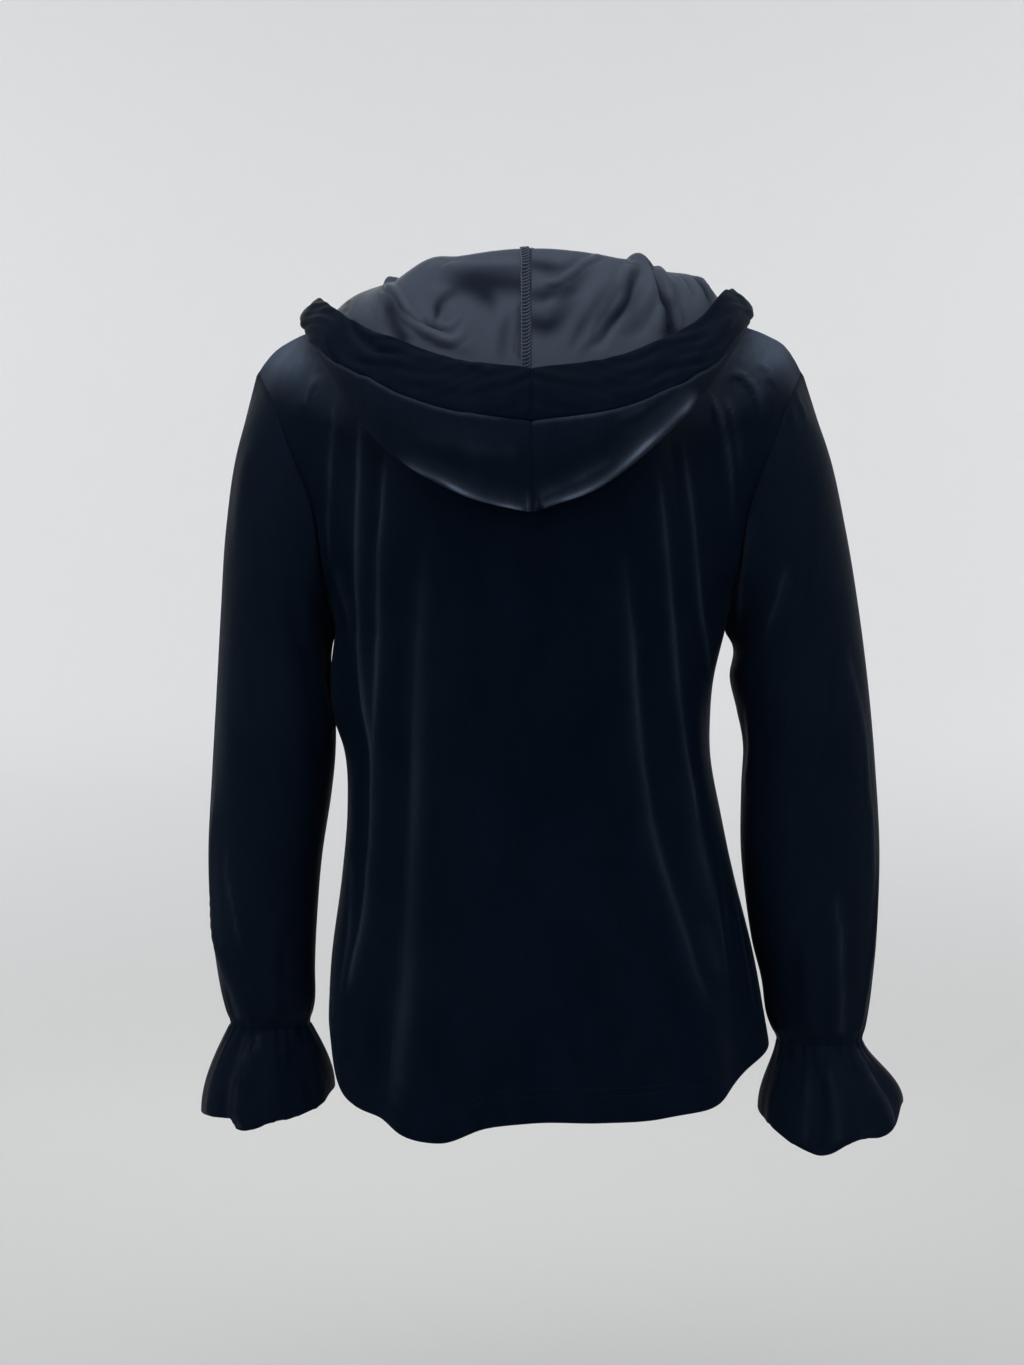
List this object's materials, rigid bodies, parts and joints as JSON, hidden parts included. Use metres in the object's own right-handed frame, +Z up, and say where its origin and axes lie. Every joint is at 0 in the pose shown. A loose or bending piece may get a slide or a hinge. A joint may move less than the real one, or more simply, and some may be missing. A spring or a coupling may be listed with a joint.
{
  "type": "hooded jacket",
  "caption": "Soft velvet zip jacket with a hood lying down over the back, long gathered sleeves with ruffled cuffs and a curved shirt-tail hem.",
  "frame": {"origin": "middle of the neck opening at the height of the nape seam, where the wearer's neck and shoulders hold the jacket", "axes": "+Z up the wearer, the front of the jacket faces -Y and the wearer's left is at +X"},
  "size_m": [0.5708, 0.2996, 0.6913],
  "materials": {
    "velvet": "short-pile stretch velvet, near black with a soft sheen, with a smooth slate-grey reverse",
    "zip_tape": "black woven tape",
    "zip_metal": "dark plated metal"
  },
  "bodies": {
    "jacket": {"back": "velvet", "front_left": "velvet", "front_right": "velvet", "sleeve_left": "velvet", "sleeve_right": "velvet", "ruffle_left": "velvet", "ruffle_right": "velvet", "hood_left": "velvet", "hood_right": "velvet", "hood_band_left": "velvet", "hood_band_right": "velvet", "zip_tape_left": "zip_tape", "zip_tape_right": "zip_tape", "zip_slider": "zip_metal"},
    "pull": {"zip_pull": "zip_metal"}
  },
  "joints": [
    {"name": "pull_swing", "type": "hinge", "parent": "jacket", "child": "pull", "pos_m": [0, -0.10705, -0.12623], "axis": [-1, 0, 0], "range_deg": [0, 150]}
  ]
}
